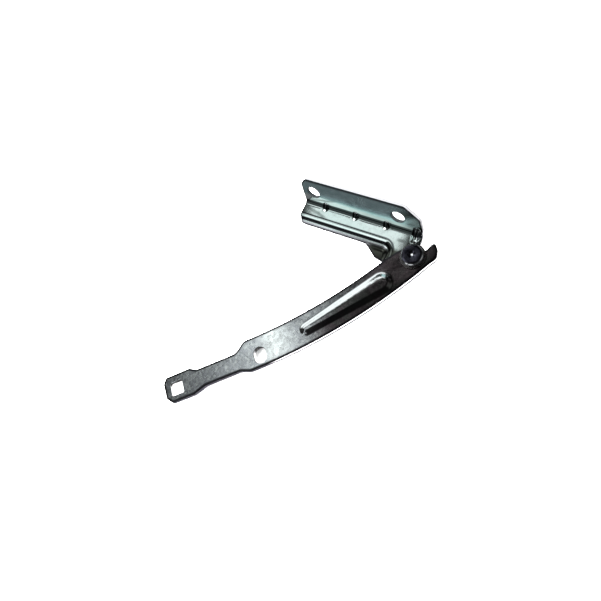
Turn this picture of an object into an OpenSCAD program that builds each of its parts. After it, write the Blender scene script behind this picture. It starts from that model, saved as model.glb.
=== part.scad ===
// Hood hinge: a stamped bracket with a flange for two bolts, and a long curved
// arm that turns on one rivet. Millimetres. The hinge lies on the back of its
// bracket web, as a loose hinge does: +Z is the pivot axis, +X runs along the
// bracket towards the pivot, +Y points to the bolted flange. The origin is the
// centre of the bolt hole nearest the pivot, on the flange's mounting face.

/* [Bracket] */
// Sheet thickness of the bracket
bracket_t = 2.5; // [2:0.1:3]
// Free end of the bracket, measured back from the pivot axis
rail_back = 87.8; // [80:0.2:95]
// Height of the bolted flange, from the corner where the two faces meet
flange_h = 22.8; // [22:0.1:28]
// Angle that the flange is folded up out of the web
fold_deg = 75; // [70:1:90]
// Inner radius of the fold
fold_r = 2.5; // [1.5:0.1:3]
// Distance from the pivot axis up to the corner of the fold
corner_y = 16.1; // [16:0.1:20]
// Diameter of the two bolt holes
bolt_d = 9.4; // [8.5:0.1:11]
// Distance between the two bolt holes
bolt_pitch = 62; // [50:0.1:64]
// Height of the bolt holes on the flange, from the corner
bolt_h = 11.1; // [10:0.1:14]
// Depth of the step down to the lower rim
step_j = 3; // [2:0.1:3.5]

/* [Arm] */
// Sheet thickness of the arm
arm_t = 3.5; // [3:0.1:4]
// Width of the curved strip
arm_w = 21.2; // [19:0.2:23]
// Radius of the curve, at the middle of the strip
arm_r = 373; // [350:1:400]
// Width of the slim neck
neck_w = 12.8; // [11:0.1:14]
// Width of the pad at the end of the arm
pad_w = 18.4; // [17:0.1:20]
// Side of the square bolt hole
square_a = 9; // [8.5:0.1:9.5]
// Width of the cross slot
slot_w = 8.4; // [8:0.1:9]
// Length of the cross slot
slot_l = 11; // [10.5:0.1:13]
// Height of the pressed bead
bead_h = 2.4; // [1.5:0.1:2.6]
// Direction of the arm as shown, measured at the pivot from +X
arm_deg = 224; // [185:1:268]

/* [Pivot] */
// Diameter of the rivet's shoulder
shoulder_d = 10; // [9:0.1:10.5]
// Diameter of the rivet's shank in the bracket
shank_d = 8; // [7:0.1:8.5]
// Diameter of the rivet's head
head_d = 14; // [13:0.1:15]
// Height of the rivet's head
head_t = 2.6; // [2:0.1:3]
// Diameter of the washer under the head
washer_d = 16.4; // [15.5:0.1:17]
// Thickness of the washers and of the bush's flange
washer_t = 1; // [0.8:0.1:1.2]

/* [Hidden] */
$fn = 64;
eps = 0.01;
gap = 0.05;                      // axial play between turning faces
T = bracket_t;
end_x = -0.8;                    // end of the bracket beside the pivot
hole_x = -17.4;                  // bolt hole nearest the pivot
tan_l = fold_r * tan(fold_deg / 2);   // tangent length of the fold
arm_z = washer_t;                // back face of the arm
front_z = arm_z + arm_t;         // front face of the arm
head_z = front_z + washer_t;     // underside of the rivet's head

// origin: bolt hole nearest the pivot, on the flange's mounting face
org = [hole_x,
       corner_y + bolt_h * cos(fold_deg) + T * sin(fold_deg),
       bolt_h * sin(fold_deg) - T * cos(fold_deg)];

// points on an arc
function arc(c, r, a0, a1, n) = [for (i = [0:n]) c + r * [cos(a0 + (a1 - a0) * i / n), sin(a0 + (a1 - a0) * i / n)]];
// rounded corner at b between a and c
function corner(a, b, c, r, n) =
    let (u = (a - b) / norm(a - b), v = (c - b) / norm(c - b),
         t = acos(u * v), d = r / tan(t / 2), w = (u + v) / norm(u + v),
         m = b + w * r / sin(t / 2), p = b + u * d - m, q = b + v * d - m,
         a0 = atan2(p[1], p[0]), da = (atan2(q[1], q[0]) - a0 + 540) % 360 - 180)
    arc(m, r, a0, a0 + da, n);
// polygon of [x, y, radius] points with rounded corners
function rounded(v, n = 6) =
    [for (i = [0:len(v) - 1])
        let (p = v[(i + len(v) - 1) % len(v)], q = v[i], s = v[(i + 1) % len(v)])
        each (q[2] > 0 ? corner([p[0], p[1]], [q[0], q[1]], [s[0], s[1]], q[2], n) : [[q[0], q[1]]])];

// ---- bracket -------------------------------------------------------------

// the web seen from the front: rail, lower rim, lobe and pivot ear
module web_outline() {
    polygon(rounded([
        [-rail_back, corner_y, 0], [-rail_back, 1.2, 5], [-35.5, 1.2, 6], [-26.2, -5.6, 5],
        [-18, -7.2, 8], [-2, -8.2, 0], [2, 0, 0], [end_x + 0.6, 6, 0], [end_x, corner_y, 0]]));
    circle(d = 16.4);
}

// step between the web (outside) and the lower rim (inside), as a section:
// x runs from the rim to the web, y is up; web's front face is y = 0
step_b = acos(1 - step_j / (3 + 1));        // slope of the step
step_run = (3 + 1) * sin(step_b);           // width of the step
function step_front() = concat(
    arc([0, 1 - step_j], 1, -90, -90 + step_b, 8),
    arc([step_run, -3], 3, 90 + step_b, 90, 10));
function step_back() = concat(
    arc([0, 1 - step_j], 1 + T, -90, -90 + step_b, 8),
    arc([step_run, -3], 3 - T, 90 + step_b, 90, 6));
module step_section() {
    f = step_front();
    b = step_back();
    polygon(concat([[-eps, -step_j]], f, [[step_run + eps, 0], [step_run + eps, -T]],
                   [for (i = [len(b) - 1:-1:0]) b[i]], [[-eps, -step_j - T]]));
}
step_c = [-23.4, -1.4];                      // centre of the step's corner
step_ro = 8.8;                               // its radius at the web
step_ri = step_ro - step_run;                // its radius at the rim

module web() {
    intersection() {
        translate([0, 0, -12]) linear_extrude(13) web_outline();
        union() {
            // web
            translate([0, 0, -T]) linear_extrude(T) difference() {
                translate([-rail_back - 1, -20]) square([rail_back + 12, 20 + corner_y - tan_l]);
                union() {
                    translate([-rail_back - 2, -25]) square([rail_back + 2 + step_c[0], 25 + step_c[1] + step_ro]);
                    translate([-60, -25]) square([60 + step_c[0] + step_ro, 25 + step_c[1]]);
                    translate(step_c) circle(r = step_ro);
                }
            }
            // lower rim and lobe
            translate([0, 0, -step_j - T]) linear_extrude(T) {
                translate([-rail_back - 2, -25]) square([rail_back + 2 + step_c[0], 25 + step_c[1] + step_ri]);
                translate([-60, -25]) square([60 + step_c[0] + step_ri, 25 + step_c[1]]);
                translate(step_c) circle(r = step_ri);
            }
            // straight step above the rim
            translate([-rail_back - 2, step_c[1] + step_ri, 0]) rotate([90, 0, 90])
                linear_extrude(rail_back + 2 + step_c[0]) step_section();
            // its corner
            translate([step_c[0], step_c[1], 0]) rotate_extrude(angle = 90)
                translate([step_ri, 0]) step_section();
            // step beside the pivot ear
            translate([step_c[0] + step_ri, step_c[1], 0]) rotate([90, 0, 0])
                linear_extrude(25) step_section();
        }
    }
}

// flange face, drawn flat: x along the bracket, y up from the corner
module flange_outline() {
    difference() {
        polygon(rounded([
            [-rail_back, tan_l, 0], [end_x - 0.9, tan_l, 0], [end_x - 0.2, 5, 4], [end_x - 1.4, 13.8, 3],
            [-12.3, flange_h, 4], [-rail_back + 4.6, flange_h, 4], [-rail_back - 0.2, flange_h - 5.2, 4]]));
        for (x = [hole_x, hole_x - bolt_pitch]) translate([x, bolt_h]) circle(d = bolt_d);
    }
}
module flange() {
    translate([0, corner_y, 0]) rotate([fold_deg, 0, 0])
        translate([0, 0, -T]) linear_extrude(T) flange_outline();
}

// the fold between web and flange
module fold() {
    translate([-rail_back, corner_y - tan_l, fold_r]) rotate([90, 0, 90])
        linear_extrude(rail_back + end_x - 0.9 + 0.5) intersection() {
            difference() {
                circle(r = fold_r + T);
                circle(r = fold_r);
            }
            polygon([[0, 0], [0, -20], [20 * tan(fold_deg / 2), -20], [20 * sin(fold_deg), -20 * cos(fold_deg)]]);
        }
}

// a dart pressed across the fold: a round ridge inside, a groove outside
module dart(x, w, a, b) {
    // from the flange at height a to the web at distance b below the corner
    p = [a * cos(fold_deg), a * sin(fold_deg)];
    q = [-b, 0];
    len = norm(p - q);
    ang = atan2(p[1] - q[1], p[0] - q[0]);
    translate([x, corner_y + q[0], q[1]]) rotate([ang, 0, 0]) translate([0, -2, -w / 2 * 0.85])
        rotate([-90, 0, 0]) cylinder(d = w, h = len + 4);
}
module corner_space(d) {
    // the space inside the fold, pushed back by d
    translate([-rail_back, 0, 0]) rotate([90, 0, 90]) linear_extrude(rail_back + end_x)
        polygon([[corner_y - 30, -d], [corner_y + d * tan(fold_deg / 2), -d],
                 [corner_y + d * tan(fold_deg / 2) + 30 * cos(fold_deg), -d + 30 * sin(fold_deg)],
                 [corner_y - 30, 30 * sin(fold_deg)]]);
}
// along the bracket, width, height on the flange, reach on the web; the last is the large one at the pivot
darts = [[-71.2, 4.4, 4.4, 4.2], [-48.4, 4.4, 4.4, 4.2], [-26, 4.4, 4.4, 4.2], [-4.8, 5.6, 7.2, 7.6]];

module bracket() color([0.66, 0.72, 0.70]) translate(-org) difference() {
    union() {
        web();
        flange();
        fold();
        for (d = darts) intersection() { dart(d[0], d[1], d[2], d[3]); corner_space(0.4); }
    }
    // grooves of the darts on the outside
    for (d = darts) intersection() {
        translate([0, T * sin(fold_deg / 2), -T * cos(fold_deg / 2)]) dart(d[0], d[1] - 1.6, d[2] - 1, d[3] - 1);
        difference() { corner_space(T + 1); corner_space(T * 0.2); }
    }
    // bore for the rivet's shank
    translate([0, 0, -T - 1]) cylinder(d = shank_d, h = T + 2);
}

// ---- arm -----------------------------------------------------------------

// drawn along its own line: x from the pivot to the pad, y across, front up
straight_x = 117.3;                     // where the curve runs out straight
axis_y = 20.7;                          // the straight end's own line
curve_y = axis_y - 1.6 - arm_r;         // centre of the curve, across
up_r = arm_r - arm_w / 2;
lo_r = arm_r + arm_w / 2;
function up_y(x) = curve_y + sqrt(up_r * up_r - (x - straight_x) * (x - straight_x));
function lo_y(x) = curve_y + sqrt(lo_r * lo_r - (x - straight_x) * (x - straight_x));
slot_x = 111.2;
square_x = 172.6;

module arm_outline() {
    nw = neck_w / 2;
    pw = pad_w / 2;
    y = axis_y;
    polygon(rounded(concat(
        // inner edge of the curve, pivot to neck
        [for (i = [0:16]) [15 + i * 98 / 16, up_y(15 + i * 98 / 16), 0]],
        [[120, up_y(117.3), 4], [127.3, y - nw, 7]],
        // pad
        [[156.6, y - nw, 4], [161.4, y - pw, 3], [179.4, y - pw, 1.5], [182, y - 5.4, 2],
         [181.6, y + 5, 1.5], [178, y + pw, 1.5], [161.5, y + pw, 4], [152.6, y + nw, 7]],
        // outer edge of the curve, neck to hook
        [[127, y + nw, 6], [120, lo_y(117.3), 4]],
        [for (i = [0:20]) [116 - i * 124 / 20, lo_y(116 - i * 124 / 20), 0]],
        // hook
        [[-12.6, 7.7, 4], [-15.2, 3, 3], [-15.7, -3.2, 1.6], [-12.6, -2.6, 1.6], [-9.2, -0.6, 2], [-7, -1.6, 0], [0, 0, 0],
         [3, up_y(15) - 2.3, 0]]), 6));
    circle(d = 16.4);
}

// bead: a ridge that widens towards the pivot, x, y, half-width
bead_a = [77.3, 17.9];                     // slim end
bead_b = [23.5, 8.4];                      // wide end
module bead(grow, drop) {
    translate([0, 0, front_z - drop]) hull() {
        translate([bead_a[0], bead_a[1], -1]) cylinder(r = 3.2 + grow, h = 1, $fn = 32);
        translate([bead_b[0], bead_b[1], -1]) cylinder(r = 6.4 + grow, h = 1, $fn = 32);
        translate([bead_a[0], bead_a[1], 0]) cylinder(r1 = 3.2 + grow, r2 = 1.2 + grow, h = bead_h * 0.8, $fn = 32);
        translate([bead_b[0], bead_b[1], 0]) cylinder(r1 = 6.4 + grow, r2 = 4.2 + grow, h = bead_h, $fn = 32);
    }
}

module arm() color([0.55, 0.57, 0.58]) translate(-org) rotate([0, 0, arm_deg]) difference() {
    union() {
        translate([0, 0, arm_z]) linear_extrude(arm_t) arm_outline();
        bead(0, 0);
    }
    // the bead's hollow on the back
    difference() {
        bead(-0.9, arm_t);
        translate([-50, -50, front_z - 0.8]) cube([300, 100, 20]);
    }
    // bore for the bush
    translate([0, 0, arm_z - 1]) cylinder(d = shoulder_d + 2, h = arm_t + 2);
    // cross slot
    translate([slot_x, axis_y + 1.2, arm_z - 1]) linear_extrude(arm_t + 6) union() {
        for (s = [-1, 1]) translate([0, s * (slot_l - slot_w) / 2]) circle(d = slot_w);
        square([slot_w, slot_l - slot_w], center = true);
    }
    // square hole
    translate([square_x, axis_y + 0.3, arm_z - 1]) linear_extrude(arm_t + 2)
        polygon(rounded([for (k = [0:3]) [square_a / 2 * (k == 0 || k == 3 ? 1 : -1), square_a / 2 * (k < 2 ? 1 : -1), 0.8]], 4));
}

// ---- pivot ---------------------------------------------------------------

module pivot_rivet() color([0.50, 0.50, 0.54]) translate(-org) rotate_extrude()
    polygon(concat(
        [[0, -T - washer_t - 1.8]],
        [[2.6, -T - washer_t - 1.8], [5.4, -T - washer_t - 1.1], [5.8, -T - washer_t - 0.5], [5.8, -T - washer_t]],
        [[shank_d / 2, -T - washer_t], [shank_d / 2, 0], [shoulder_d / 2, 0], [shoulder_d / 2, head_z + gap],
         [head_d / 2, head_z + gap]],
        arc([head_d / 2 - 0.9, head_z + gap + head_t - 0.9], 0.9, 0, 90, 6),
        [[2.0, head_z + gap + head_t]],
        [[1.5, head_z + gap + head_t - 0.7], [0, head_z + gap + head_t - 1.0]]));

module head_washer() color([0.62, 0.62, 0.62]) translate([0, 0, front_z + gap / 2] - org) difference() {
    cylinder(d = washer_d, h = washer_t);
    translate([0, 0, -1]) cylinder(d = shoulder_d + 0.4, h = washer_t + 2);
}

module arm_bush() color([0.62, 0.48, 0.26]) translate(-org) difference() {
    union() {
        translate([0, 0, gap]) cylinder(d = 15, h = washer_t - gap);
        translate([0, 0, gap]) cylinder(d = shoulder_d + 2, h = washer_t + arm_t - 0.1 - gap);
    }
    translate([0, 0, -1]) cylinder(d = shoulder_d + 0.08, h = washer_t + arm_t + 2);
}

module tail_washer() color([0.60, 0.60, 0.62]) translate([0, 0, -T - washer_t] - org) difference() {
    cylinder(d = 15, h = washer_t);
    translate([0, 0, -1]) cylinder(d = shank_d, h = washer_t + 2);
}

bracket();
arm();
pivot_rivet();
head_washer();
arm_bush();
tail_washer();
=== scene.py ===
import math

import bpy
import numpy as np
from mathutils import Matrix, Vector
from mathutils.geometry import delaunay_2d_cdt
from mathutils.kdtree import KDTree

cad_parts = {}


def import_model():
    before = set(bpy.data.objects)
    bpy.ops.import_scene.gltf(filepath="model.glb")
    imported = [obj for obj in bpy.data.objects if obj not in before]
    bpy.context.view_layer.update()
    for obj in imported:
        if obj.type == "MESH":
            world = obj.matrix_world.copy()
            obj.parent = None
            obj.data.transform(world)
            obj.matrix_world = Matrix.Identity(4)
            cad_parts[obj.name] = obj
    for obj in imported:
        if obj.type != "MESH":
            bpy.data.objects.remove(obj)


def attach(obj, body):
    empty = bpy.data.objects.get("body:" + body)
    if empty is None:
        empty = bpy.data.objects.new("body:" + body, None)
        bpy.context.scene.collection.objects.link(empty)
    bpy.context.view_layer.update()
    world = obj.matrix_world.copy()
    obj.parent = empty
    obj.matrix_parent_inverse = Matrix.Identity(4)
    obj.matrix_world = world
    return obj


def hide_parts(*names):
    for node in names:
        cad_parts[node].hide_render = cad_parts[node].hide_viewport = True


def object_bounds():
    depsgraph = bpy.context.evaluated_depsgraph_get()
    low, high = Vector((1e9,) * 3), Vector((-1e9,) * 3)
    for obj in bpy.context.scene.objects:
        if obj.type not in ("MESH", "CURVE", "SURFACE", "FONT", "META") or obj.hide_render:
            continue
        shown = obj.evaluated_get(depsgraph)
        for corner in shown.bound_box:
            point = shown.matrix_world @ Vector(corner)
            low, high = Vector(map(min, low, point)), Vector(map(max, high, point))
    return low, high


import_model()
CAD_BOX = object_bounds()
M = 0.001

# ---------------------------------------------------------------- sizes, as in the part's source (mm)
T = 2.5
FOLD, FR, CY = math.radians(75), 2.5, 16.1
CF, SF = math.cos(FOLD), math.sin(FOLD)
BACK, END = -87.8, -0.8
HOLES, BOLT_H, BOLT_R = (-17.4, -79.4), 11.1, 4.7
FLANGE = 22.8
STEP_J = 3.0
STEP_C, STEP_RO = (-23.4, -1.4), 8.8
STEP_B = math.acos(1 - STEP_J / 4.0)
STEP_RUN = 4.0 * math.sin(STEP_B)
STEP_RI = STEP_RO - STEP_RUN
DARTS = [(-71.4, 2.3, 4.4, 3.4), (-48.6, 2.3, 4.4, 3.4), (-26.1, 2.3, 4.4, 3.4), (-4.8, 3.4, 7.2, 7.4)]
ARM_T, ARM_W, ARM_R, ARM_DEG = 3.5, 21.2, 373.0, 224.0
WASHER, GAP = 1.0, 0.05
ARM_Z = WASHER
FRONT_Z = ARM_Z + ARM_T
HEAD_Z = FRONT_Z + WASHER
ORG = np.array([HOLES[0], CY + BOLT_H * CF + T * SF, BOLT_H * SF - T * CF])


# ---------------------------------------------------------------- outlines
def corner(a, b, c, r, n):
    a, b, c = (np.array(p[:2], float) for p in (a, b, c))
    u, v = (a - b) / np.linalg.norm(a - b), (c - b) / np.linalg.norm(c - b)
    t = math.acos(float(np.clip(u @ v, -1, 1)))
    if abs(t - math.pi) < 1e-3:
        return [tuple(b)]
    d = r / math.tan(t / 2)
    w = (u + v) / np.linalg.norm(u + v)
    m = b + w * r / math.sin(t / 2)
    p, q = b + u * d - m, b + v * d - m
    a0 = math.atan2(p[1], p[0])
    da = (math.atan2(q[1], q[0]) - a0 + 3 * math.pi) % (2 * math.pi) - math.pi
    return [(m[0] + r * math.cos(a0 + da * i / n), m[1] + r * math.sin(a0 + da * i / n)) for i in range(n + 1)]


def rounded(v, n=8):
    out = []
    for i, q in enumerate(v):
        p, s = v[i - 1], v[(i + 1) % len(v)]
        out += corner(p, q, s, q[2], n) if q[2] > 0 else [(q[0], q[1])]
    return out


def arc(cx, cy, r, a0, a1, n):
    return [(cx + r * math.cos(math.radians(a0 + (a1 - a0) * i / n)), cy + r * math.sin(math.radians(a0 + (a1 - a0) * i / n))) for i in range(n + 1)]


def resample(loop, step):
    pts = [np.array(p, float) for p in loop]
    keep = [pts[0]]
    for p in pts[1:]:
        if np.linalg.norm(p - keep[-1]) > 0.04:
            keep.append(p)
    if np.linalg.norm(keep[0] - keep[-1]) < 0.04:
        keep.pop()
    out = []
    for a, b in zip(keep, keep[1:] + keep[:1]):
        n = max(1, int(math.ceil(np.linalg.norm(b - a) / step)))
        out += [a + (b - a) * i / n for i in range(n)]
    return np.array(out)


def area(loop):
    x, y = loop[:, 0], loop[:, 1]
    return 0.5 * float(np.sum(x * np.roll(y, -1) - np.roll(x, -1) * y))


def inward(loop, d):
    """The loop moved by d to its left, the side of the material."""
    e = np.roll(loop, -1, 0) - loop
    e /= np.linalg.norm(e, axis=1)[:, None]
    n = np.stack([-e[:, 1], e[:, 0]], 1)
    m = n + np.roll(n, 1, 0)
    m /= np.linalg.norm(m, axis=1)[:, None]
    k = np.clip(np.sum(m * n, 1), 0.6, 1)
    return loop + m * (d / k)[:, None]


def inside(pts, loops):
    c = np.zeros(len(pts), bool)
    for loop in loops:
        a, b = loop, np.roll(loop, -1, 0)
        for (x1, y1), (x2, y2) in zip(a, b):
            if y1 == y2:
                continue
            m = (y1 > pts[:, 1]) != (y2 > pts[:, 1])
            c ^= m & (pts[:, 0] < (x2 - x1) * (pts[:, 1] - y1) / (y2 - y1) + x1)
    return c


def scatter(loops, sets, edge):
    """Interior points: each (points, spacing) set in turn, kept where it lies in the material and clear of those before it."""
    taken = [tuple(p) for l in loops for p in l]
    base = len(taken)
    for pts, gap in sets:
        pts = np.asarray(pts, float)
        pts = pts[inside(pts, loops)]
        tree = KDTree(len(taken))
        for i, p in enumerate(taken):
            tree.insert((p[0], p[1], 0), i)
        tree.balance()
        fresh = []
        for p in pts:
            co, i, dist = tree.find((p[0], p[1], 0))
            if dist > (edge if i < base else gap):
                fresh.append(tuple(p))
        taken += fresh
    return np.array(taken[base:])


def hexgrid(x0, x1, y0, y1, s):
    out, k = [], 0
    y = y0
    while y <= y1:
        x = x0 + (s / 2 if k % 2 else 0)
        while x <= x1:
            out.append((x, y))
            x += s
        y += s * 0.866
        k += 1
    return np.array(out)


# ---------------------------------------------------------------- a stamped sheet with rolled rims
def sheet(name, loops, front, back, thick, roll_f, roll_b, sets, edge, tags):
    """loops: outer ccw, holes cw, in flat coordinates. front and back map flat points to the two faces. tags gives the shading values of flat points."""
    prof = [(roll_f + 0.45, 0.0), (roll_f, 0.0)]
    prof += [(roll_f * (1 - math.sin(a)), roll_f * (1 - math.cos(a))) for a in np.radians([18, 36, 54, 72, 90])]
    prof += [(0.0, thick * 0.5), (0.0, thick - roll_b)]
    prof += [(roll_b * (1 - math.cos(a)), thick - roll_b * (1 - math.sin(a))) for a in np.radians([30, 60, 90])]
    prof += [(roll_b + 0.25, thick)]
    slim = [1.0 if i == 0 else 0.3 for i in range(len(loops))]            # holes have smaller rolls
    first = [inward(l, prof[0][0] * s) for l, s in zip(loops, slim)]
    border = np.concatenate([inward(loops[0], roll_f + d) for d in (0.75, 1.05, 1.4)])
    sets = [(border, 0.22)] + list(sets)
    last = [inward(l, prof[-1][0] * s) for l, s in zip(loops, slim)]
    fill = scatter(first, sets, edge)
    verts, uvs, rim, hole, deep, faces = [], [], [], [], [], []

    def cap(rings, mapping, flip, at):
        pts = np.concatenate(rings + [fill])
        n, edges, k = sum(len(r) for r in rings), [], 0
        for r in rings:
            edges += [(k + i, k + (i + 1) % len(r)) for i in range(len(r))]
            k += len(r)
        v, e, f, ov, oe, of_ = delaunay_2d_cdt([Vector(p) for p in pts], edges, [], 2, 1e-6)
        base = len(verts)
        flat = np.array([(p[0], p[1]) for p in v])
        verts.extend(mapping(flat).tolist())
        uvs.extend(flat.tolist())
        rim.extend([at] * len(v))
        hole.extend([0.0] * len(v))
        deep.extend([1.0 if flip else 0.0] * len(v))
        back_to = {}
        for j, src in enumerate(ov):
            for s in src:
                back_to[s] = base + j
        mid = np.array([flat[list(t)].mean(0) for t in f])
        keep = inside(mid, rings)
        for t, ok in zip(f, keep):
            if not ok:
                continue
            t = [base + q for q in t]
            a, b, c = (flat[q - base] for q in t[:3])
            if (b[0] - a[0]) * (c[1] - a[1]) - (b[1] - a[1]) * (c[0] - a[0]) < 0:
                t = t[::-1]
            faces.append(t[::-1] if flip else t)
        return [back_to[i] for i in range(n)]

    top = cap(first, front, False, 0.0)
    for i in top[:len(first[0])]:
        rim[i] = 0.10
    bottom = cap(last, back, True, 0.0)
    k = 0
    for index, loop in enumerate(loops):
        n = len(loop)
        rows = [top[k:k + n]]
        for j, (d, e) in enumerate(prof[1:-1]):
            flat = inward(loop, d * slim[index])
            w = e / thick
            p = front(flat) * (1 - w) + back(flat) * w
            base = len(verts)
            verts.extend(p.tolist())
            uvs.extend(flat.tolist())
            rim.extend([1.0 if 4 <= j <= 8 else (0.5 if j >= 2 else (0.14, 0.38)[j])] * n)
            hole.extend([1.0 if index else 0.0] * n)
            deep.extend([w] * n)
            rows.append(list(range(base, base + n)))
        rows.append(bottom[k:k + n])
        for a, b in zip(rows, rows[1:]):
            for i in range(n):
                i2 = (i + 1) % n
                faces.append([a[i], b[i], b[i2], a[i2]])
        k += n
    me = bpy.data.meshes.new(name)
    me.from_pydata((np.array(verts) * M).tolist(), [], faces)
    me.validate(clean_customdata=False)
    me.update()
    put(me, "rim", rim)
    put(me, "hole", hole)
    put(me, "deep", deep)
    tree = KDTree(len(loops[0]))
    for i, q in enumerate(loops[0]):
        tree.insert((q[0], q[1], 0), i)
    tree.balance()
    put(me, "edge", [min(1.0, tree.find((q[0], q[1], 0))[2] / 3.0) for q in uvs])
    values = tags(np.array(uvs))
    for key, val in values.items():
        put(me, key, val)
    me.polygons.foreach_set("use_smooth", [True] * len(me.polygons))
    ob = bpy.data.objects.new(name, me)
    bpy.context.scene.collection.objects.link(ob)
    return ob


def put(me, key, val):
    a = me.attributes.new(key, "FLOAT", "POINT")
    a.data.foreach_set("value", np.asarray(val, np.float32))


def smooth(x, a=0.0, b=1.0):
    x = np.clip((np.asarray(x, float) - a) / (b - a), 0, 1)
    return x * x * (3 - 2 * x)


# ---------------------------------------------------------------- bracket
TAN = FR * math.tan(FOLD / 2)
V0 = CY - TAN
V1 = V0 + FR * FOLD
hv = lambda h: V1 + h - TAN


def step_rho(x, y):
    dx, dy = x - STEP_C[0], y - STEP_C[1]
    r = np.where((dx > 0) & (dy > 0), np.hypot(dx, dy), np.maximum(dx, dy))
    gx = np.where((dx > 0) & (dy > 0), dx / np.maximum(np.hypot(dx, dy), 1e-6), (dx >= dy).astype(float))
    gy = np.where((dx > 0) & (dy > 0), dy / np.maximum(np.hypot(dx, dy), 1e-6), (dx < dy).astype(float))
    return r, gx, gy


def step_z(rho):
    """Height of the web's front and its slope across the step."""
    d = rho - STEP_RI
    s1 = math.sin(STEP_B)
    z, k = np.zeros_like(d), np.zeros_like(d)
    low = d <= 0
    turn = np.clip(-d[low] / 2.3, 0, 1.15)
    z[low] = -STEP_J - 0.42 * turn ** 2
    k[low] = 0.36 * turn * (turn < 1.15)
    a = (d > 0) & (d < s1)
    z[a] = 1 - STEP_J - np.sqrt(1 - d[a] ** 2)
    k[a] = d[a] / np.sqrt(1 - d[a] ** 2)
    b = (d >= s1) & (d < STEP_RUN)
    q = STEP_RUN - d[b]
    z[b] = -3 + np.sqrt(9 - q ** 2)
    k[b] = q / np.sqrt(9 - q ** 2)
    return z, k


def bracket_base(uv):
    u, v = uv[:, 0], uv[:, 1]
    p = np.zeros((len(uv), 3))
    n = np.zeros((len(uv), 3))
    rho, gx, gy = step_rho(u, np.minimum(v, V0))
    z, k = step_z(rho)
    web = v <= V0
    th = np.clip((v - V0) / FR, 0, FOLD)
    h = np.maximum(v - V1, 0)
    p[:, 0] = u
    p[:, 1] = np.where(web, v, V0 + FR * np.sin(th) + h * CF)
    p[:, 2] = np.where(web, z, FR - FR * np.cos(th) + h * SF)
    n[:, 0] = np.where(web, -k * gx, 0)
    n[:, 1] = np.where(web, -k * gy, -np.sin(th))
    n[:, 2] = np.where(web, 1, np.cos(th))
    n /= np.linalg.norm(n, axis=1)[:, None]
    return p, n


def dart_move(uv, p, scale):
    out = np.zeros_like(p)
    u, v = uv[:, 0], uv[:, 1]
    for x, hw, a, b in DARTS:
        vw, vf = CY - b, hv(a)
        t = np.clip((v - vw) / (vf - vw), 0, 1)
        q, r = np.array([CY - b, 0.0]), np.array([CY + a * CF, a * SF])
        chord = q[None] + (r - q)[None] * t[:, None]
        wide = hw * scale * (0.5 + 0.5 * np.sin(np.pi * t))
        x_ = np.clip(np.abs(u - x) / wide, 0, 1)
        w = (1 - x_ ** 2) ** 1.6
        w *= smooth(t, 0, 0.2) * smooth(1 - t, 0, 0.2)
        w[(v <= vw) | (v >= vf)] = 0
        out[:, 1] += w * (chord[:, 0] - p[:, 1])
        out[:, 2] += w * (chord[:, 1] - p[:, 2])
    return out


def sway(uv):
    """The slight waviness that pressing leaves in a thin sheet, in mm."""
    u, v = uv[:, 0], uv[:, 1]
    return 0.03 * np.sin(u * 0.13 + 0.7) * np.sin(v * 0.21 + 0.4) + 0.008 * np.sin(u * 0.35 + v * 0.2)


def bracket_front(uv):
    p, n = bracket_base(uv)
    return p + dart_move(uv, p, 1.0) - n * (0.1 + sway(uv))[:, None] - ORG


def bracket_back(uv):
    p, n = bracket_base(uv)
    q = p + 0.82 * dart_move(uv, p, 0.72) - T * n
    q[:, 2] = np.maximum(q[:, 2], -STEP_J - T)
    return q - ORG


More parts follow.
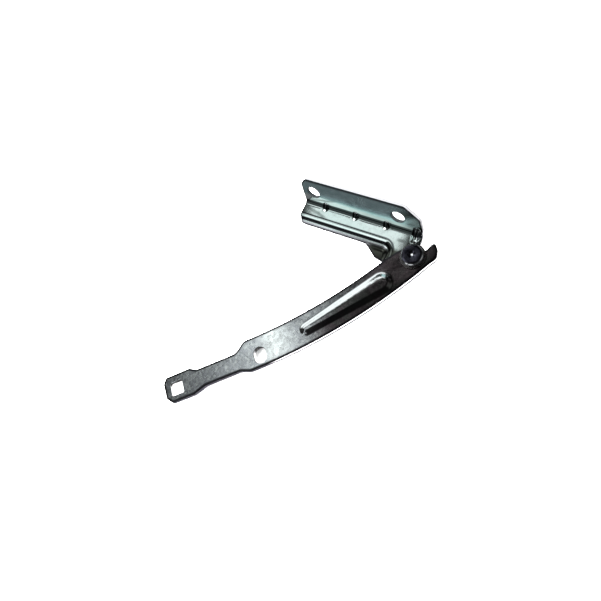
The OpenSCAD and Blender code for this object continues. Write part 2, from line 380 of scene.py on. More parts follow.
def bracket():
    ear = 8.2
    outer = [(BACK, 10, 0), (BACK, 1.2, 5), (-35.5, 1.2, 6), (-26.2, -5.6, 5), (-18, -7.2, 8)]
    outer += [(x, y, 0) for x, y in arc(0, 0, ear, -98, 76, 40)]
    outer += [(-0.35, 8.2, 1.0), (-0.62, V0 - 0.6, 0), (-1.5, V1, 0), (-1.0, hv(5), 4), (-2.2, hv(13.8), 3),
              (-12.3, hv(FLANGE), 4), (-83.2, hv(FLANGE), 4), (-88.0, hv(FLANGE - 5.4), 4), (BACK, V1, 0), (BACK, V0, 0)]
    loops = [resample(rounded(outer), 0.7)]
    if area(loops[0]) < 0:
        loops[0] = loops[0][::-1]
    for x, y, r, n in [(HOLES[0], hv(BOLT_H), BOLT_R, 72), (HOLES[1], hv(BOLT_H), BOLT_R, 72), (0, 0, 4.05, 56)]:
        loops.append(np.array(arc(x, y, r, 0, -360, n)[:-1]))
    rows = []
    u = np.arange(BACK, 9, 0.8)
    for i in range(9):                                   # the fold
        v = V0 + (V1 - V0) * i / 8
        rows += [(x + (0.4 if i % 2 else 0), v) for x in u]
    b = math.degrees(STEP_B)
    offs = [math.sin(math.radians(b * i / 5)) for i in range(6)]
    offs += [STEP_RUN - 3 * math.sin(math.radians(b * i / 9)) for i in range(9)]
    near = []
    for k, d in enumerate(sorted(offs)):                 # the step, line by line
        r = STEP_RI + d
        near += [(x, STEP_C[1] + r) for x in np.arange(BACK, STEP_C[0], 0.9)]
        m = max(6, int(r * math.pi / 2 / 0.55))
        near += [(STEP_C[0] + r * math.cos(a), STEP_C[1] + r * math.sin(a)) for a in np.linspace(0, math.pi / 2, m + 1)]
        near += [(STEP_C[0] + r, y) for y in np.arange(STEP_C[1] - 0.6, -12, -0.7)]
    fine = []
    for x, hw, a, bb in DARTS:
        fine += hexgrid(x - hw - 1.2, x + hw + 1.2, CY - bb - 1.0, hv(a) + 1.0, 0.42).tolist()
    coarse = hexgrid(BACK, 10, -12, hv(24.5), 1.25)
    sets = [(near, 0.12), (fine, 0.25), (rows, 0.3), (coarse, 0.8)]

    def tags(uv):
        rho = step_rho(uv[:, 0], np.minimum(uv[:, 1], V0))[0]
        return {"along": (uv[:, 0] - BACK) / 90.0, "across": uv[:, 1] / 42.0,
                "step": np.clip((rho - STEP_RI) / STEP_RUN * 0.5 + 0.25, 0, 1),
                "dot": sum(smooth(np.hypot(uv[:, 0] - x + 0.4, uv[:, 1] - 13.7), 1.05, 0.45) for x, hw, a, b in DARTS[:3])}

    ob = sheet("bracket_sheet", loops, bracket_front, bracket_back, T, 0.45, 0.3, sets, 0.4, tags)
    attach(ob, "bracket_side")
    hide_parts("bracket")
    return ob


# ---------------------------------------------------------------- arm
STRAIGHT, AXIS = 117.3, 20.7
CURVE_Y = AXIS - 1.6 - ARM_R
UP_R, LO_R = ARM_R - ARM_W / 2, ARM_R + ARM_W / 2
up_y = lambda x: CURVE_Y + math.sqrt(UP_R ** 2 - (x - STRAIGHT) ** 2)
lo_y = lambda x: CURVE_Y + math.sqrt(LO_R ** 2 - (x - STRAIGHT) ** 2)
SLOT, SLOT_W, SLOT_L = 111.2, 8.4, 11.0
SQUARE_X, SQUARE = 172.6, 9.0
BEAD_A, BEAD_B, BEAD_RA, BEAD_RB, BEAD_H = np.array([77.3, 17.9]), np.array([23.5, 8.4]), 3.2, 6.4, 2.4


def bead_d(p, grow=0.0):
    """Distance inside the bead's foot line, and the share of the way to its wide end."""
    e = BEAD_B - BEAD_A
    L = float(np.linalg.norm(e))
    e = e / L
    q = p - BEAD_A
    t = q @ e
    n = np.abs(q[:, 0] * e[1] - q[:, 1] * e[0])
    sa = (BEAD_RB - BEAD_RA) / L
    ca = math.sqrt(1 - sa * sa)
    k = t * ca + n * sa
    side = BEAD_RA + sa * t - ca * n
    a = BEAD_RA - np.hypot(t, n)
    b = BEAD_RB - np.hypot(t - L, n)
    d = np.where(k < 0, a, np.where(k > L * ca, b, side))
    return d + grow, np.clip(t / L, 0, 1)


def bead_up(p):
    """Distance from the bead's middle line towards the inner edge of the curve."""
    e = (BEAD_B - BEAD_A) / float(np.linalg.norm(BEAD_B - BEAD_A))
    q = p - BEAD_A
    return q[:, 1] * e[0] - q[:, 0] * e[1]


def bead_x(p, grow, lead, wide):
    """Share of the way up the bead's side, from the foot to the crown; the side towards the inner edge is wide by that much more."""
    d, t = bead_d(p, grow)
    up = smooth(bead_up(p), -2.5, 3.0)
    lead = lead + 0.35 * wide * up
    return np.clip((d + lead) / (2.35 + wide * up * (0.2 + 0.9 * t) + lead), 0, 1), t


def bead_h(p, grow, lead, wide=0.0):
    x, t = bead_x(p, grow, lead, wide)
    s = x ** 2 * (3 - 2 * x)
    if wide == 0:
        s = 0.5 * s + 0.5 * smooth(x, 0.12, 0.92)
    return BEAD_H * (0.8 + 0.2 * t) * s


def arm_place(p, z):
    a = math.radians(ARM_DEG)
    out = np.stack([p[:, 0] * math.cos(a) - p[:, 1] * math.sin(a), p[:, 0] * math.sin(a) + p[:, 1] * math.cos(a), z], 1)
    return out - ORG


def arm_front(p):
    z = FRONT_Z + bead_h(p, 0.0, 0.9, 2.4) - 0.04
    z = z - 0.04 * np.sin(p[:, 0] * 0.16 + 0.5) * np.sin(p[:, 1] * 0.35)
    return arm_place(p, z)


def arm_back(p):
    return arm_place(p, ARM_Z + bead_h(p, -1.3, 0.4))


def arm():
    y, nw, pw = AXIS, 6.4, 9.2
    pts = [(x, up_y(x), 0) for x in np.linspace(15, 113, 33)]
    pts += [(120, up_y(117.3), 4), (127.3, y - nw, 7)]
    pts += [(156.6, y - nw, 4), (161.4, y - pw, 3), (179.4, y - pw, 1.5), (182, y - 5.4, 2),
            (181.6, y + 5, 1.5), (178, y + pw, 1.5), (161.5, y + pw, 4), (152.6, y + nw, 7)]
    pts += [(127, y + nw, 6), (120, lo_y(117.3), 4)]
    pts += [(x, lo_y(x), 0) for x in np.linspace(116, -8, 41)]
    pts += [(-12.6, 7.7, 4), (-15.2, 3, 3), (-15.7, -3.2, 1.6), (-12.6, -2.6, 1.6), (-9.2, -0.6, 2)]
    loop = rounded(pts, 8)
    # the boss round the pivot joins hook and strip
    loop += arc(0, 0, 8.2, 196, 282, 22)
    loop += [(3.0 + 12.0 * i / 6, -7.96 + (up_y(15) + 7.96) * (i / 6) ** 1.15) for i in range(1, 6)]
    loops = [resample(loop, 0.7)]
    if area(loops[0]) < 0:
        loops[0] = loops[0][::-1]
    sy, half = AXIS + 1.2, (SLOT_L - SLOT_W) / 2
    slot = arc(SLOT, sy + half, SLOT_W / 2, 0, 180, 22) + arc(SLOT, sy - half, SLOT_W / 2, 180, 360, 22)
    q = SQUARE / 2
    square = rounded([(SQUARE_X + q * a, AXIS + 0.3 + q * b, 0.8) for a, b in ((1, 1), (-1, 1), (-1, -1), (1, -1))], 6)
    bore = arc(0, 0, 6.0, 0, 360, 56)
    for h in (slot, square, bore):
        h = resample(h, 0.5)
        loops.append(h[::-1] if area(h) > 0 else h)
    # lines that follow the bead's foot and crown
    e = BEAD_B - BEAD_A
    L = float(np.linalg.norm(e))
    e = e / L
    m = np.array([-e[1], e[0]])
    sa = (BEAD_RB - BEAD_RA) / L
    fine = []
    for d in np.arange(-3.5, 2.9, 0.3):
        ra, rb = BEAD_RA - d, BEAD_RB - d
        if ra < 0.15:
            ra = 0.15
        for sgn in (1, -1):
            nrm = -sa * e + math.sqrt(1 - sa * sa) * m * sgn
            a_, b_ = BEAD_A + nrm * ra, BEAD_B + nrm * rb
            k = int(L / 0.8)
            fine += [a_ + (b_ - a_) * i / k for i in range(k + 1)]
        ang = math.atan2(e[1], e[0])
        for i in range(28):
            t_ = ang + math.pi / 2 + math.pi * i / 27
            fine.append(BEAD_A + ra * np.array([math.cos(t_), math.sin(t_)]))
        for i in range(44):
            t_ = ang - math.pi / 2 + math.pi * i / 43
            fine.append(BEAD_B + rb * np.array([math.cos(t_), math.sin(t_)]))
    coarse = hexgrid(-20, 186, -14, 36, 1.2)
    sets = [(fine, 0.2), (coarse, 0.75)]

    def tags(uv):
        x, t = bead_x(uv, 0.0, 0.9, 2.4)
        up, s = bead_up(uv), uv[:, 0]
        flank = smooth(x, 0.03, 0.2) * smooth(x, 0.97, 0.8) * smooth(up, 0, 2)
        low = np.maximum(smooth(x, 0.85, 0.98), smooth(up, 1, -1))
        crown = smooth(up, -3, 0)
        dark = 0.88 * (smooth(92 - s, 0, 34) * (1 - crown) + smooth(80 - s, 0, 30) * crown)
        stain = 0.88 * smooth(65 - s, 0, 45) * (1 - low) + dark * low
        return {"along": (s + 16) / 198.0, "across": uv[:, 1] / 30.0, "stain": stain * (1 - flank), "flank": flank, "shade": smooth(20.4 - uv[:, 1], 1.2, 3.0)}

    ob = sheet("arm_strip", loops, arm_front, arm_back, ARM_T, 0.7, 0.3, sets, 0.4, tags)
    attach(ob, "arm_side")
    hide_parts("arm")
    return ob


# ---------------------------------------------------------------- turned pieces
def lathe(name, prof, z, node, body, seg=112, rims=None):
    """prof: closed (r, z) outline, or one that starts and ends on the axis."""
    verts, faces, rings = [], [], []
    closed = prof[0][0] > 1e-6
    for r, h in prof:
        if r < 1e-6:
            rings.append([len(verts)])
            verts.append((-ORG[0], -ORG[1], z + h - ORG[2]))
        else:
            rings.append(list(range(len(verts), len(verts) + seg)))
            verts += [(r * math.cos(2 * math.pi * i / seg) - ORG[0], r * math.sin(2 * math.pi * i / seg) - ORG[1], z + h - ORG[2]) for i in range(seg)]
    pairs = list(zip(rings, rings[1:] + (rings[:1] if closed else [])))
    if not closed:
        pairs = pairs[:len(rings) - 1]
    for a, b in pairs:
        for i in range(seg):
            j = (i + 1) % seg
            if len(a) == 1 and len(b) == 1:
                continue
            if len(a) == 1:
                faces.append([a[0], b[j], b[i]])
            elif len(b) == 1:
                faces.append([a[i], a[j], b[0]])
            else:
                faces.append([a[i], a[j], b[j], b[i]])
    me = bpy.data.meshes.new(name)
    me.from_pydata((np.array(verts) * M).tolist(), [], faces)
    me.validate()
    me.update()
    import bmesh
    bm = bmesh.new()
    bm.from_mesh(me)
    bmesh.ops.recalc_face_normals(bm, faces=bm.faces)
    bm.to_mesh(me)
    bm.free()
    put(me, "radius", [math.hypot(q.co.x + ORG[0] * M, q.co.y + ORG[1] * M) * 100 for q in me.vertices])
    me.polygons.foreach_set("use_smooth", [True] * len(me.polygons))
    ob = bpy.data.objects.new(name, me)
    bpy.context.scene.collection.objects.link(ob)
    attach(ob, body)
    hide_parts(node)
    return ob


def soft(prof, r, n=5):
    """Rounds the corners of an (r, z) outline; the third value is the corner's own radius."""
    out = []
    for i, q in enumerate(prof):
        p, s = prof[i - 1], prof[(i + 1) % len(prof)]
        rr = q[2] if len(q) > 2 else r
        out += corner(p, q, s, rr, n) if rr > 0 else [(q[0], q[1])]
    return out


def washers():
    def ring(ri, ro, t, r=0.22):
        return soft([(ri, 0), (ro, 0), (ro, t), (ri, t)], r)

    tail = -T - WASHER
    top = lathe("head_washer_disc", ring(5.2, 8.2, WASHER, 0.28), FRONT_Z + GAP / 2, "head_washer", "bracket_side")
    low = lathe("tail_washer_disc", ring(4.02, 7.5, WASHER - 0.02), tail, "tail_washer", "bracket_side")
    bush = lathe("arm_bush_sleeve", soft([(5.04, GAP), (7.5, GAP), (7.5, WASHER - 0.02), (5.98, WASHER - 0.02), (5.98, WASHER + ARM_T - 0.1),
                                            (5.04, WASHER + ARM_T - 0.1)], 0.12, 3), 0.0, "arm_bush", "arm_side")
    return top, low, bush


def rivet():
    h = HEAD_Z + GAP
    tail = -T - WASHER
    head = [(4.9, h, 0), (7.0, h, 0.15), (7.0, h + 1.75, 0.5), (6.3, h + 2.45, 0.5), (5.2, h + 2.6, 1.2), (2.5, h + 2.58, 0.7),
            (1.6, h + 2.12, 0.8), (0.7, h + 1.9, 0.6)]
    low = [(1.2, tail - 1.55, 0.3), (2.0, tail - 1.8, 0.35), (3.4, tail - 1.72, 0.6), (5.3, tail - 1.05, 0.6), (5.8, tail - 0.45, 0.3), (5.7, tail, 0.05)]
    pts = [(0, tail - 1.5, 0)] + low + [(4.0, tail, 0), (4.0, 0, 0), (4.97, 0, 0)] + head + [(0, h + 1.88, 0)]
    out = []
    for i, q in enumerate(pts):
        if 0 < i < len(pts) - 1 and q[2] > 0:
            out += corner(pts[i - 1], q, pts[i + 1], q[2], 6)
        else:
            out.append((q[0], q[1]))
    return lathe("pivot_rivet_body", out, 0.0, "pivot_rivet", "bracket_side", seg=128)


# ---------------------------------------------------------------- materials
class Net:
    """Small helper for node trees."""

    def __init__(self, name):
        self.m = bpy.data.materials.new(name)
        self.m.use_nodes = True
        self.t = self.m.node_tree
        self.t.nodes.clear()
        self.out = self.t.nodes.new("ShaderNodeOutputMaterial")
        self.b = self.t.nodes.new("ShaderNodeBsdfPrincipled")
        self.t.links.new(self.b.outputs[0], self.out.inputs[0])

    def n(self, kind, **kw):
        x = self.t.nodes.new(kind)
        for k, v in kw.items():
            setattr(x, k, v)
        return x

    def link(self, a, b):
        self.t.links.new(a, b)

    def put(self, sock, v):
        if isinstance(v, bpy.types.NodeSocket):
            self.link(v, sock)
        else:
            sock.default_value = v

    def attr(self, name):
        a = self.n("ShaderNodeAttribute", attribute_name=name)
        return a.outputs["Fac"]

    def coord(self, scale=(1, 1, 1), rot=(0, 0, 0)):
        c = self.n("ShaderNodeTexCoord")
        mp = self.n("ShaderNodeMapping")
        mp.inputs["Scale"].default_value = scale
        mp.inputs["Rotation"].default_value = rot
        self.link(c.outputs["Object"], mp.inputs["Vector"])
        return mp.outputs[0]

    def noise(self, vec, scale, detail=4.0, rough=0.55, dist=0.0):
        x = self.n("ShaderNodeTexNoise")
        self.link(vec, x.inputs["Vector"])
        x.inputs["Scale"].default_value = scale
        x.inputs["Detail"].default_value = detail
        x.inputs["Roughness"].default_value = rough
        x.inputs["Distortion"].default_value = dist
        return x.outputs["Fac"]

    def cells(self, vec, scale, out="Color", feature="F1"):
        x = self.n("ShaderNodeTexVoronoi", feature=feature)
        self.link(vec, x.inputs["Vector"])
        x.inputs["Scale"].default_value = scale
        return x.outputs[out]

    def ramp(self, fac, lo, hi, a=0.0, b=1.0, smooth_=True):
        x = self.n("ShaderNodeMapRange", interpolation_type="SMOOTHSTEP" if smooth_ else "LINEAR")
        self.put(x.inputs["Value"], fac)
        for k, v in zip(("From Min", "From Max", "To Min", "To Max"), (lo, hi, a, b)):
            x.inputs[k].default_value = v
        return x.outputs[0]

    def math(self, op, a, b=0.0, clamp=False):
        x = self.n("ShaderNodeMath", operation=op, use_clamp=clamp)
        self.put(x.inputs[0], a)
        self.put(x.inputs[1], b)
        return x.outputs[0]

    def mix(self, fac, a, b, mode="MIX"):
        x = self.n("ShaderNodeMix", data_type="RGBA", blend_type=mode)
        self.put(x.inputs[0], fac)
        self.put(x.inputs[6], a)
        self.put(x.inputs[7], b)
        return x.outputs[2]

    def bump(self, height, strength, dist, normal=None):
        x = self.n("ShaderNodeBump")
        x.inputs["Strength"].default_value = strength
        x.inputs["Distance"].default_value = dist
        self.link(height, x.inputs["Height"])
        if normal is not None:
            self.link(normal, x.inputs["Normal"])
        return x.outputs[0]


def rgb(r, g, b):
    return (r, g, b, 1.0)


def plated_bracket():
    n = Net("bright_zinc_plate")
    v = n.coord()
    big = n.noise(v, 38, 3, 0.5, 0.6)
    mid = n.noise(v, 230, 4, 0.6)
    fine = n.noise(v, 1500, 3, 0.6)
    across, along, rim = n.attr("across"), n.attr("along"), n.attr("rim")
    col = n.mix(n.ramp(big, 0.35, 0.65), rgb(0.72, 0.87, 0.84), rgb(0.79, 0.90, 0.88))
    col = n.mix(n.ramp(mid, 0.45, 0.75, 0, 0.35), col, rgb(0.56, 0.64, 0.62))
    # painted reflection on the flange: a lighter strip above the fold, lightest at the left end, with mottling
    flange_reflection = n.mix(n.ramp(along, 0.28, 0.64), rgb(0.76, 0.80, 0.79), rgb(0.49, 0.53, 0.52))
    flange_reflection = n.mix(n.ramp(mid, 0.3, 0.7, 0, 0.3), flange_reflection, rgb(0.46, 0.54, 0.53))
    col = n.mix(n.ramp(across, 0.415, 0.435), col, flange_reflection)
    # painted shade: the fold between web and flange nearly black
    fold_shade = n.math("MULTIPLY", n.ramp(across, 0.343, 0.358), n.ramp(across, 0.455, 0.432))
    col = n.mix(n.math("MULTIPLY", fold_shade, 0.98), col, rgb(0.015, 0.02, 0.02))
    # painted shade: the flange's upper part darker
    top = n.ramp(n.math("ADD", across, n.math("MULTIPLY", along, 0.09)), 0.540, 0.605)
    col = n.mix(top, col, n.mix(n.ramp(mid, 0.3, 0.7), rgb(0.38, 0.53, 0.54), rgb(0.50, 0.65, 0.66)))
    # painted shade: the right end of the flange dark
    end_shade = n.math("MULTIPLY", n.ramp(along, 0.77, 0.90), n.ramp(across, 0.40, 0.46))
    col = n.mix(n.math("MULTIPLY", end_shade, 0.75), col, rgb(0.12, 0.13, 0.13))
    # painted shade: a dark slanted band at the web's free end, where the web reflects dark; and one dark spot near the
    # pivot
    slant = n.math("ADD", across, n.math("MULTIPLY", along, 0.62))
    slant = n.math("ADD", slant, n.math("MULTIPLY", n.math("SUBTRACT", big, 0.5), 0.10))
    dark_band_and_spot = n.math("MULTIPLY", n.ramp(n.math("ABSOLUTE", n.math("SUBTRACT", slant, 0.325)), 0.042, 0.010), n.ramp(along, 0.25, 0.17))
    spot = n.math("MULTIPLY", n.ramp(n.math("ABSOLUTE", n.math("SUBTRACT", along, 0.83)), 0.045, 0.012),
                  n.ramp(n.math("ABSOLUTE", n.math("SUBTRACT", across, 0.215)), 0.035, 0.010))
    dark_band_and_spot = n.math("MAXIMUM", dark_band_and_spot, spot)
    dark_band_and_spot = n.math("MAXIMUM", dark_band_and_spot, n.ramp(along, 0.055, 0.015))
    dark_band_and_spot = n.math("MULTIPLY", dark_band_and_spot, n.ramp(across, 0.37, 0.35))
    col = n.mix(n.math("MULTIPLY", dark_band_and_spot, 0.64), col, rgb(0.15, 0.18, 0.175))
    # painted shade on the steep part of the step and in a band just above it; painted highlight on the low rim
    step = n.attr("step")
    wall_shade = n.math("MULTIPLY", n.ramp(step, 0.27, 0.32), n.ramp(step, 0.54, 0.48))
    wall_shade = n.math("MULTIPLY", wall_shade, n.ramp(across, 0.30, 0.27))
    col = n.mix(n.math("MULTIPLY", wall_shade, 0.98), col, rgb(0.012, 0.010, 0.016))
    crest_shade = n.math("MULTIPLY", n.math("MULTIPLY", n.ramp(step, 0.68, 0.73), n.ramp(step, 0.90, 0.85)), n.ramp(across, 0.30, 0.27))
    col = n.mix(n.math("MULTIPLY", crest_shade, 0.75), col, rgb(0.10, 0.11, 0.13))
    lip_highlight = n.math("MULTIPLY", n.ramp(step, 0.25, 0.20), n.ramp(across, 0.30, 0.27))
    col = n.mix(n.math("MULTIPLY", lip_highlight, 0.8), col, rgb(0.86, 0.85, 0.93))
    # painted shade: dark lines along the rim
    rim_shade_lines = n.math("MULTIPLY", n.ramp(step, 0.11, 0.13), n.ramp(step, 0.175, 0.155))
    rim_shade_lines = n.math("MAXIMUM", rim_shade_lines, n.ramp(step, 0.055, 0.03))
    rim_shade_lines = n.math("MULTIPLY", rim_shade_lines, n.ramp(across, 0.30, 0.27))
    col = n.mix(n.math("MULTIPLY", rim_shade_lines, 0.75), col, rgb(0.10, 0.09, 0.12))
    # painted highlight: a bright dot at the foot of each dart, also less metallic there
    dot = n.attr("dot")
    col = n.mix(dot, col, rgb(0.93, 0.95, 0.95))
    # painted shade round the pivot
    pivot_shade = n.ramp(along, 0.80, 0.96)
    low = n.ramp(across, 0.34, 0.16)
    col = n.mix(n.math("MULTIPLY", pivot_shade, low), col, rgb(0.20, 0.20, 0.19))
    # painted shade on the lobe, olive-dark
    lobe_shade = n.math("MULTIPLY", n.ramp(along, 0.55, 0.64), n.ramp(across, 0.10, 0.02))
    col = n.mix(n.math("MULTIPLY", lobe_shade, 0.92), col, rgb(0.05, 0.055, 0.04))
    # painted shade: a dark outline along the outer edge and along the flange's top
    outline_shade = n.math("MAXIMUM", n.ramp(n.attr("edge"), 0.42, 0.24), n.ramp(across, 0.850, 0.880))
    col = n.mix(n.math("MULTIPLY", outline_shade, 0.88), col, rgb(0.035, 0.033, 0.042))
    # cut edges light grey; the walls of the holes painted dark, as shade
    cut = n.ramp(rim, 0.6, 0.95)
    col = n.mix(cut, col, n.mix(n.attr("hole"), rgb(0.60, 0.60, 0.62), rgb(0.07, 0.08, 0.085)))
    n.link(col, n.b.inputs["Base Color"])
    n.link(n.math("SUBTRACT", n.ramp(cut, 0, 1, 1.0, 0.8), n.math("MULTIPLY", dot, 0.6), clamp=True), n.b.inputs["Metallic"])
    r = n.ramp(mid, 0.3, 0.75, 0.05, 0.11)
    r = n.math("ADD", r, n.math("MULTIPLY", top, 0.08))
    r = n.math("ADD", r, n.math("MULTIPLY", cut, 0.3))
    n.link(r, n.b.inputs["Roughness"])
    bp = n.bump(mid, 0.03, 0.0002)
    bp = n.bump(fine, 0.05, 0.00008, bp)
    n.link(bp, n.b.inputs["Normal"])
    return n.m


def plated_arm():
    n = Net("mottled_zinc_plate")
    v = n.coord()
    big = n.noise(v, 55, 3, 0.55, 0.8)
    mid = n.noise(v, 330, 5, 0.65)
    fine = n.noise(v, 1300, 4, 0.65)
    spang = n.cells(v, 620)
    sp = n.n("ShaderNodeRGBToBW")
    n.link(spang, sp.inputs[0])
    spark = sp.outputs[0]
    along, across, rim = n.attr("along"), n.attr("across"), n.attr("rim")
    grey = n.mix(n.ramp(spark, 0.25, 0.75), rgb(0.36, 0.385, 0.40), rgb(0.60, 0.64, 0.64))
    grey = n.mix(n.ramp(mid, 0.42, 0.62), grey, rgb(0.44, 0.465, 0.49))
    # painted highlight: lighter in the middle of the arm
    a = n.ramp(along, 0.49, 0.60)
    b = n.ramp(along, 0.66, 0.58)
    middle_highlight = n.math("MULTIPLY", a, b)
    col = n.mix(middle_highlight, grey, rgb(0.80, 0.85, 0.84))
    # painted highlight on the bead's upper side
    col = n.mix(n.attr("flank"), col, rgb(0.84, 0.88, 0.88))
    # brown-black stain round the bead, the pivot and the hook, partly painted shade: the bead's crown and lower side,
    # and the pivot end, are painted dark
    stain = n.math("ADD", n.attr("stain"), n.math("MULTIPLY", n.math("SUBTRACT", mid, 0.5), 0.10), clamp=True)
    tint = n.mix(n.ramp(big, 0.42, 0.6), rgb(0.085, 0.058, 0.064), rgb(0.075, 0.075, 0.066))
    col = n.mix(stain, col, tint)
    # painted shade: a dark band along the outer rim. The cut edges are light near the pivot and dark from the middle to
    # the pad
    hole = n.attr("hole")
    col = n.mix(n.math("MULTIPLY", n.ramp(n.attr("edge"), 0.66, 0.38), 0.95), col, rgb(0.03, 0.03, 0.035))
    cut = n.ramp(rim, 0.6, 0.95)
    tip = n.ramp(along, 0.57, 0.63)
    edge = n.mix(tip, rgb(0.86, 0.85, 0.85), rgb(0.03, 0.03, 0.035))
    # painted shade: the back half of the cut edges dark
    edge = n.mix(n.ramp(n.attr("deep"), 0.36, 0.52), edge, rgb(0.05, 0.045, 0.06))
    # painted shade: the walls of the holes light on one side, dark on the other
    edge = n.mix(hole, edge, n.mix(n.attr("shade"), rgb(0.62, 0.63, 0.63), rgb(0.03, 0.03, 0.03)))
    col = n.mix(cut, col, edge)
    n.link(col, n.b.inputs["Base Color"])
    n.link(n.ramp(cut, 0, 1, 1.0, 0.25), n.b.inputs["Metallic"])
    r = n.ramp(mid, 0.3, 0.7, 0.10, 0.16)
    r = n.math("ADD", r, n.ramp(spark, 0.2, 0.8, -0.02, 0.04))
    r = n.math("ADD", r, n.math("MULTIPLY", cut, 0.25))
    n.link(r, n.b.inputs["Roughness"])
    bp = n.bump(mid, 0.10, 0.0004)
    bp = n.bump(spark, 0.10, 0.0001, bp)
    bp = n.bump(fine, 0.08, 0.0001, bp)
    n.link(bp, n.b.inputs["Normal"])
    return n.m


def steel(name, base, second, rough, scale=500, spin=False):
    n = Net(name)
    v = n.coord()
    mid = n.noise(v, scale, 5, 0.6)
    big = n.noise(v, 120, 3, 0.5)
    col = n.mix(n.ramp(mid, 0.35, 0.68), base, second)
    col = n.mix(n.ramp(big, 0.5, 0.8, 0, 0.5), col, rgb(base[0] * 0.6, base[1] * 0.56, base[2] * 0.6))
    n.link(col, n.b.inputs["Base Color"])
    n.b.inputs["Metallic"].default_value = 1.0
    n.link(n.ramp(mid, 0.3, 0.7, rough, rough + 0.12), n.b.inputs["Roughness"])
    n.link(n.bump(mid, 0.15, 0.0002), n.b.inputs["Normal"])
    return n.m


def rivet_steel():
    """Dark plate, with painted highlights: a bright dot in the dimple and a bright ring round the head's rim."""
    n = Net("dark_rivet_steel")
    v = n.coord()
    mid = n.noise(v, 420, 5, 0.6)
    rad = n.attr("radius")
    col = n.mix(n.ramp(mid, 0.35, 0.68), rgb(0.055, 0.055, 0.075), rgb(0.11, 0.11, 0.14))
    col = n.mix(n.ramp(rad, 0.11, 0.05), col, rgb(0.75, 0.78, 0.80))
    col = n.mix(n.ramp(rad, 0.60, 0.67, 0, 0.8), col, rgb(0.85, 0.87, 0.88))
    n.link(col, n.b.inputs["Base Color"])
    n.link(n.ramp(rad, 0.10, 0.04, 1.0, 0.82), n.b.inputs["Metallic"])
    n.link(n.ramp(mid, 0.3, 0.7, 0.10, 0.2), n.b.inputs["Roughness"])
    n.link(n.bump(mid, 0.12, 0.0002), n.b.inputs["Normal"])
    return n.m


def give(ob, mat):
    ob.data.materials.clear()
    ob.data.materials.append(mat)


# ---------------------------------------------------------------- stage
def world():
    w = bpy.data.worlds.new("studio")
    bpy.context.scene.world = w
    w.use_nodes = True
    t = w.node_tree
    t.nodes.clear()
    out = t.nodes.new("ShaderNodeOutputWorld")
    bg = t.nodes.new("ShaderNodeBackground")
    t.links.new(bg.outputs[0], out.inputs[0])
    tc = t.nodes.new("ShaderNodeTexCoord")

    def node(kind, **kw):
        x = t.nodes.new(kind)
        for k, v in kw.items():
            setattr(x, k, v)
        return x

    def dot(d):
        x = node("ShaderNodeVectorMath", operation="DOT_PRODUCT")
        d = Vector(d).normalized()
        x.inputs[1].default_value = d
        t.links.new(tc.outputs["Generated"], x.inputs[0])
        return x.outputs["Value"]

    def step(val, lo, hi, a=0.0, b=1.0):
        x = node("ShaderNodeMapRange", interpolation_type="SMOOTHSTEP")
        t.links.new(val, x.inputs["Value"])
        for k, v in zip(("From Min", "From Max", "To Min", "To Max"), (lo, hi, a, b)):
            x.inputs[k].default_value = v
        return x.outputs[0]

    def calc(op, a, b, clamp=False):
        x = node("ShaderNodeMath", operation=op, use_clamp=clamp)
        for s, v in zip(x.inputs, (a, b)):
            if isinstance(v, bpy.types.NodeSocket):
                t.links.new(v, s)
            else:
                s.default_value = v
        return x.outputs[0]

    def lamp(d, full, zero, k):
        return step(dot(d), math.cos(math.radians(zero)), math.cos(math.radians(full)), 0.0, k)

    up = dot((0, 0, 1))
    total = step(up, 0.80, 0.52, WORLD["top"], WORLD["ring"])          # bright ring above the horizon, dark overhead
    for d, full, zero, k in WORLD["lamps"]:
        total = calc("ADD", total, lamp(d, full, zero, k))
    ax, ay = dot((1, 0, 0)), dot((0, 1, 0))
    for x0, x1, y0, y1, z0, s, k in WORLD["panels"]:                       # softboxes with straight sides
        p = calc("MULTIPLY", step(ax, x0, x0 + s), step(ax, x1, x1 - s))
        p = calc("MULTIPLY", p, calc("MULTIPLY", step(ay, y0, y0 + s), step(ay, y1, y1 - s)))
        p = calc("MULTIPLY", p, step(up, z0, z0 + 0.1, 0.0, k))
        total = calc("ADD", total, p)
    t.links.new(total, bg.inputs["Strength"])
    bg.inputs["Color"].default_value = (0.97, 1.0, 1.0, 1)


WORLD = {
    "top": 0.028, "ring": 0.03,
    "lamps": [  # direction, full and zero angle in degrees, strength
        ((-0.791, 0.554, 0.259), 24, 36, 1.15),     # the bright side of the room, beyond the object
        ((-0.457, 0.072, 0.887), 1.0, 5.0, 1.15),   # over the middle of the arm
        ((-0.457, 0.072, 0.887), 2.0, 11.5, 0.42),  # and round it
        ((-0.56, -0.06, 0.82), 5, 12, 0.12),        # over the tip
        ((0.09, -0.985, 0.15), 10, 24, 1.0),        # low, in front
        ((0.81, 0.30, 0.50), 12, 30, 0.25),          # right
    ],
    "panels": [  # low and high bounds in x and y, lowest z, softness of the sides, strength
        (-0.492, -0.323, 0.258, 0.42, 0.5, 0.02, 0.93),   # over the web
        (-0.56, -0.28, -0.92, -0.13, 0.1, 0.05, 1.15),    # along the step
    ],
}


def area_light(name, loc, target, size, power, glossy):
    l = bpy.data.lights.new(name, "AREA")
    l.shape = "SQUARE"
    l.size = size
    l.energy = power
    o = bpy.data.objects.new(name, l)
    bpy.context.scene.collection.objects.link(o)
    o.location = loc
    o.rotation_euler = (Vector(target) - Vector(loc)).to_track_quat("-Z", "Y").to_euler()
    o.visible_glossy = glossy
    return o


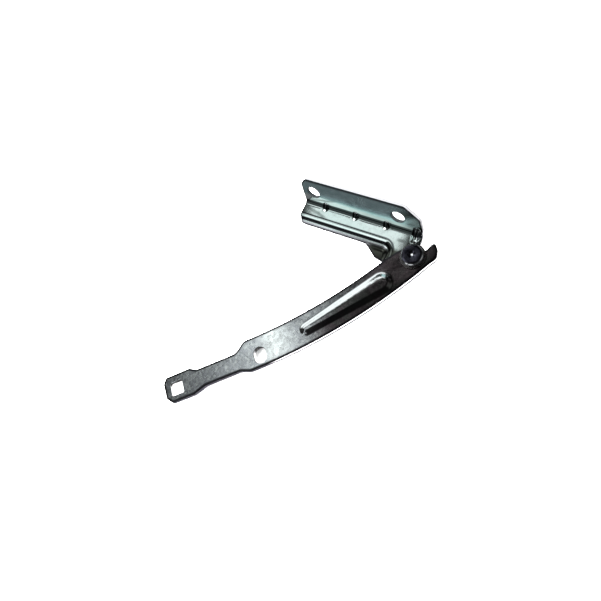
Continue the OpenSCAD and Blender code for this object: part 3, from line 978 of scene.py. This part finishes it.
def stage():
    lo, hi = CAD_BOX
    z = lo[2] - 0.00002
    me = bpy.data.meshes.new("floor")
    s = 3.0
    me.from_pydata([(-s, -s, z), (s, -s, z), (s, s, z), (-s, s, z)], [], [(0, 1, 2, 3)])
    ob = bpy.data.objects.new("floor", me)
    bpy.context.scene.collection.objects.link(ob)
    m = bpy.data.materials.new("pale_floor")
    m.use_nodes = True
    t = m.node_tree
    b = t.nodes["Principled BSDF"]
    b.inputs["Roughness"].default_value = 0.9
    b.inputs["Specular IOR Level"].default_value = 0.0
    path = t.nodes.new("ShaderNodeLightPath")
    mix = t.nodes.new("ShaderNodeMix")
    mix.data_type = "RGBA"
    mix.inputs[6].default_value = (0.93, 0.93, 0.93, 1)
    mix.inputs[7].default_value = (0.03, 0.031, 0.032, 1)
    t.links.new(path.outputs["Is Glossy Ray"], mix.inputs[0])
    t.links.new(mix.outputs[2], b.inputs["Base Color"])
    me.materials.append(m)


def camera():
    c = bpy.data.cameras.new("camera")
    c.sensor_fit = "HORIZONTAL"
    c.sensor_width = 36.0
    c.lens = 36.0 * 600.0 / 601.0
    c.clip_start = 0.01
    o = bpy.data.objects.new("camera", c)
    bpy.context.scene.collection.objects.link(o)
    x, y, z = Vector((0.8314, 0.4337, -0.3475)), Vector((-0.3261, 0.8870, 0.3269)), Vector((0.4500, -0.1585, 0.8789))
    z.normalize()
    x = (x - z * x.dot(z)).normalized()
    y = z.cross(x)
    at = (np.array([116.6, -111.531, 341.351]) - ORG) * M
    o.matrix_world = Matrix(((x[0], y[0], z[0], at[0]), (x[1], y[1], z[1], at[1]), (x[2], y[2], z[2], at[2]), (0, 0, 0, 1)))
    bpy.context.scene.camera = o


# ---------------------------------------------------------------- build
br = bracket()
ar = arm()
wt, wl, bush = washers()
rv = rivet()
give(br, plated_bracket())
give(ar, plated_arm())
give(rv, rivet_steel())
washer = steel("washer_steel", rgb(0.20, 0.19, 0.19), rgb(0.14, 0.13, 0.13), 0.2)
give(wt, washer)
give(wl, washer)
give(bush, steel("bush_bronze", rgb(0.60, 0.44, 0.24), rgb(0.48, 0.34, 0.18), 0.25))

camera()
stage()
world()
area_light("key", (-0.25, -0.45, 0.75), (-0.04, -0.08, 0), 0.9, 50.0, False)
area_light("fill", (0.5, 0.35, 0.7), (-0.04, -0.08, 0), 1.0, 42.0, False)
vs = bpy.context.scene.view_settings
vs.view_transform = "Standard"
vs.look = "None"
